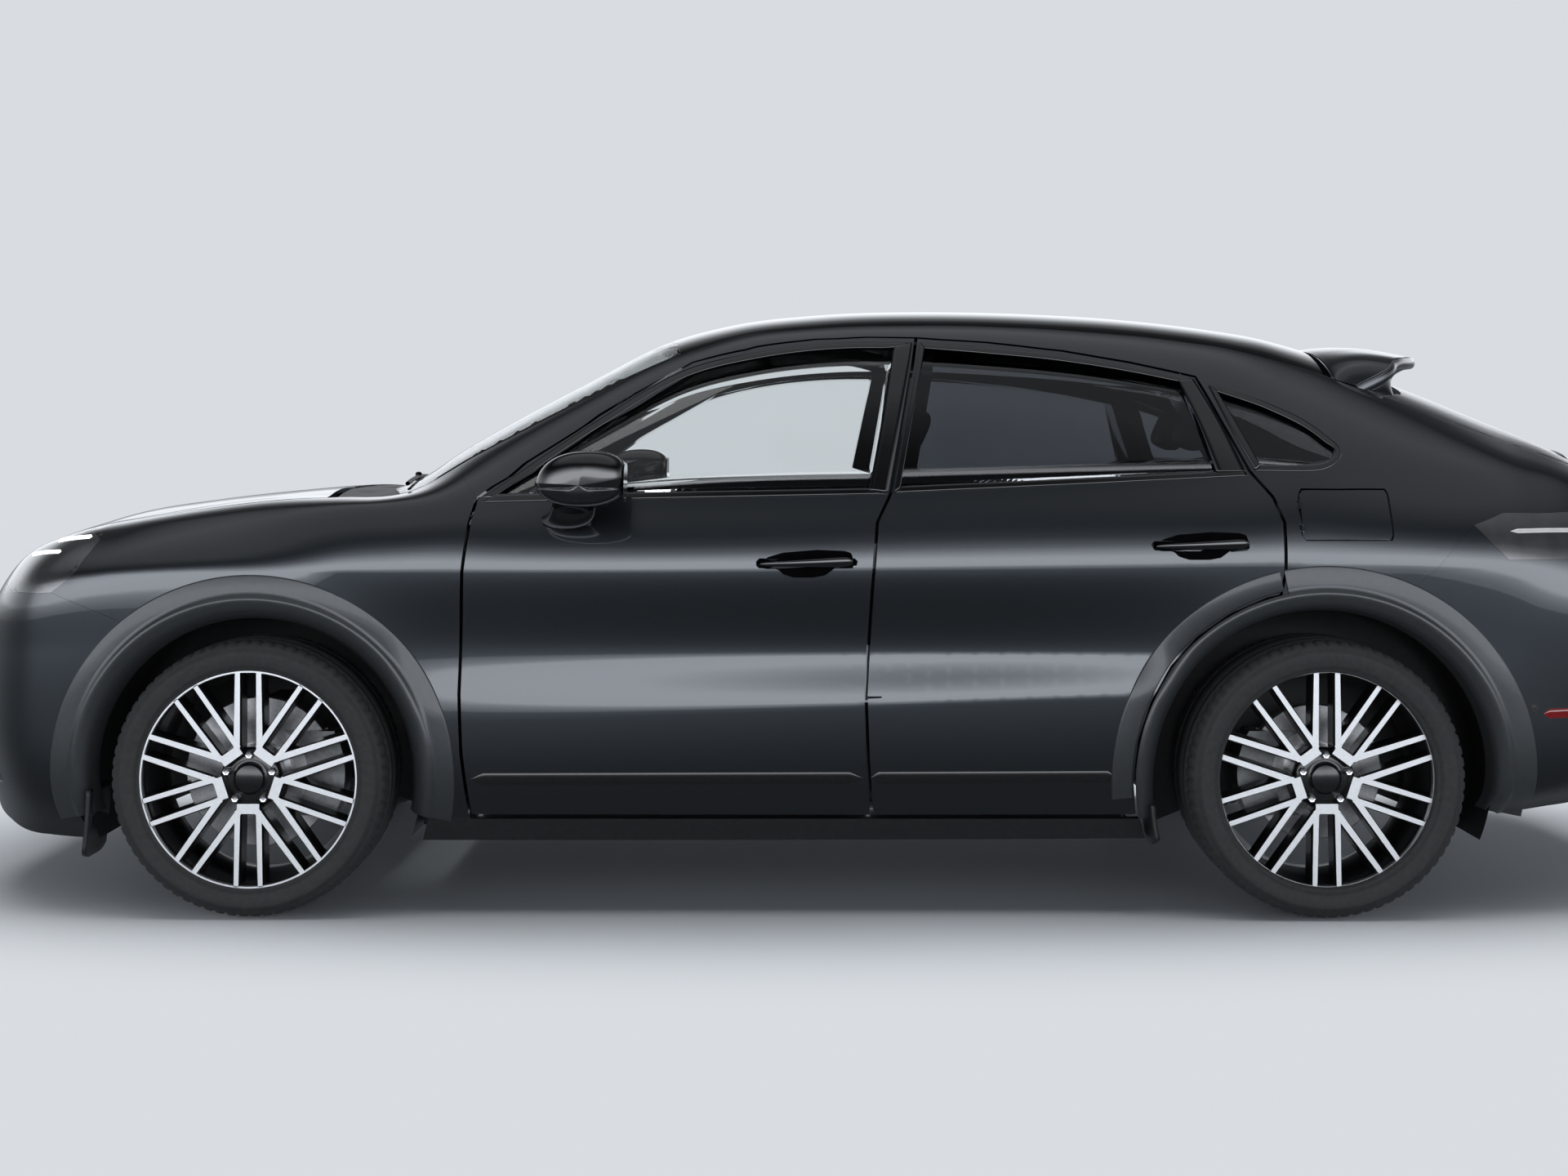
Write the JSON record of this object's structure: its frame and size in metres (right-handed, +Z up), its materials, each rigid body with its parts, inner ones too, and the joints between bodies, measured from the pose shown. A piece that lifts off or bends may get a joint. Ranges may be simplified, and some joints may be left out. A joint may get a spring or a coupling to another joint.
{
  "type": "coupe sport utility vehicle",
  "caption": "Five-door coupe sport utility vehicle with opening doors, hood, tailgate and flaps, steered front wheels and cross-spoke rims.",
  "frame": {"origin": "on the ground under the middle of the bounding box", "axes": "+X to the rear, +Y to the right side of the vehicle, +Z up"},
  "size_m": [4.93, 2.191, 1.6762],
  "materials": {
    "paint": "metallic clear coat",
    "satin_black": "fine grain",
    "gloss_black": "polished",
    "clear_glass": "clear",
    "dark_glass": "tinted",
    "lamp_clear": "clear lens",
    "lamp_red": "red lens",
    "steel": "brushed",
    "cast_metal": "as cast",
    "leather": "smooth",
    "tyre": "matte",
    "alloy": "machined and painted"
  },
  "bodies": {
    "body": {"body_side_left": "paint", "body_side_right": "paint", "floor_pan": "satin_black", "roof_panel": "gloss_black", "windshield": "clear_glass", "cowl_panel": "satin_black", "quarter_windows": "dark_glass", "front_fenders": "paint", "front_bumper": "paint", "grille": "satin_black", "headlamps": "lamp_clear", "rear_bumper": "paint", "tail_lamps": "lamp_red", "sill_trims": "satin_black", "arch_trims": "satin_black", "wheel_liners": "satin_black", "exhaust_tips": "steel", "crash_beams": "steel", "hinge_pins": "steel", "engine_block": "cast_metal", "front_axle": "cast_metal", "rear_axle": "cast_metal", "front_seats": "leather", "rear_seat": "leather", "dashboard": "satin_black", "steering_wheel": "satin_black"},
    "door_front_left": {"door_front_left": "paint", "glass_front_left": "clear_glass", "mirror_left": "gloss_black"},
    "door_front_right": {"door_front_right": "paint", "glass_front_right": "clear_glass", "mirror_right": "gloss_black"},
    "door_rear_left": {"door_rear_left": "paint", "glass_rear_left": "dark_glass"},
    "door_rear_right": {"door_rear_right": "paint", "glass_rear_right": "dark_glass"},
    "hood": {"hood": "paint"},
    "tailgate": {"tailgate": "paint", "rear_window": "dark_glass", "light_bar": "lamp_red", "roof_spoiler": "paint"},
    "charge_flap": {"charge_flap": "paint"},
    "fuel_flap": {"fuel_flap": "paint"},
    "knuckle_left": {"knuckle_left": "cast_metal"},
    "knuckle_right": {"knuckle_right": "cast_metal"},
    "wheel_front_left": {"tyre_front_left": "tyre", "rim_front_left": "alloy"},
    "wheel_front_right": {"tyre_front_right": "tyre", "rim_front_right": "alloy"},
    "wheel_rear_left": {"tyre_rear_left": "tyre", "rim_rear_left": "alloy"},
    "wheel_rear_right": {"tyre_rear_right": "tyre", "rim_rear_right": "alloy"}
  },
  "joints": [
    {"name": "door_front_left_swing", "type": "hinge", "parent": "body", "child": "door_front_left", "pos_m": [-0.94829, -0.93389, 0.9], "axis": [0, 0, -1], "range_deg": [0, 65]},
    {"name": "door_rear_left_swing", "type": "hinge", "parent": "body", "child": "door_rear_left", "pos_m": [0.14892, -0.94083, 0.9], "axis": [0, 0, -1], "range_deg": [0, 68]},
    {"name": "door_front_right_swing", "type": "hinge", "parent": "body", "child": "door_front_right", "pos_m": [-0.94829, 0.93389, 0.9], "axis": [0, 0, 1], "range_deg": [0, 65]},
    {"name": "door_rear_right_swing", "type": "hinge", "parent": "body", "child": "door_rear_right", "pos_m": [0.14892, 0.94083, 0.9], "axis": [0, 0, 1], "range_deg": [0, 68]},
    {"name": "hood_lift", "type": "hinge", "parent": "body", "child": "hood", "pos_m": [-1.43986, 0, 1.13181], "axis": [0, 1, 0], "range_deg": [0, 55]},
    {"name": "tailgate_lift", "type": "hinge", "parent": "body", "child": "tailgate", "pos_m": [1.44438, 0, 1.55802], "axis": [0, -1, 0], "range_deg": [0, 75]},
    {"name": "charge_flap_swing", "type": "hinge", "parent": "body", "child": "charge_flap", "pos_m": [1.27481, -0.92854, 1.07996], "axis": [0, -0.393, -0.9195], "range_deg": [0, 85]},
    {"name": "fuel_flap_swing", "type": "hinge", "parent": "body", "child": "fuel_flap", "pos_m": [1.27481, 0.92854, 1.07996], "axis": [0, -0.393, 0.9195], "range_deg": [0, 85]},
    {"name": "steer_left", "type": "hinge", "parent": "body", "child": "knuckle_left", "pos_m": [-1.56, -0.74, 0.374], "axis": [0, 0, 1], "range_deg": [-33, 33]},
    {"name": "steer_right", "type": "hinge", "parent": "body", "child": "knuckle_right", "pos_m": [-1.56, 0.74, 0.374], "axis": [0, 0, 1], "range_deg": [-33, 33]},
    {"name": "wheel_front_left_spin", "type": "hinge", "parent": "knuckle_left", "child": "wheel_front_left", "pos_m": [-1.56, -0.84, 0.374], "axis": [0, 1, 0], "continuous": true},
    {"name": "wheel_rear_left_spin", "type": "hinge", "parent": "body", "child": "wheel_rear_left", "pos_m": [1.335, -0.84, 0.374], "axis": [0, 1, 0], "continuous": true},
    {"name": "wheel_front_right_spin", "type": "hinge", "parent": "knuckle_right", "child": "wheel_front_right", "pos_m": [-1.56, 0.84, 0.374], "axis": [0, 1, 0], "continuous": true},
    {"name": "wheel_rear_right_spin", "type": "hinge", "parent": "body", "child": "wheel_rear_right", "pos_m": [1.335, 0.84, 0.374], "axis": [0, 1, 0], "continuous": true}
  ],
  "couplings": [
    {"joint": "steer_right", "follows": "steer_left", "ratio": 1}
  ]
}
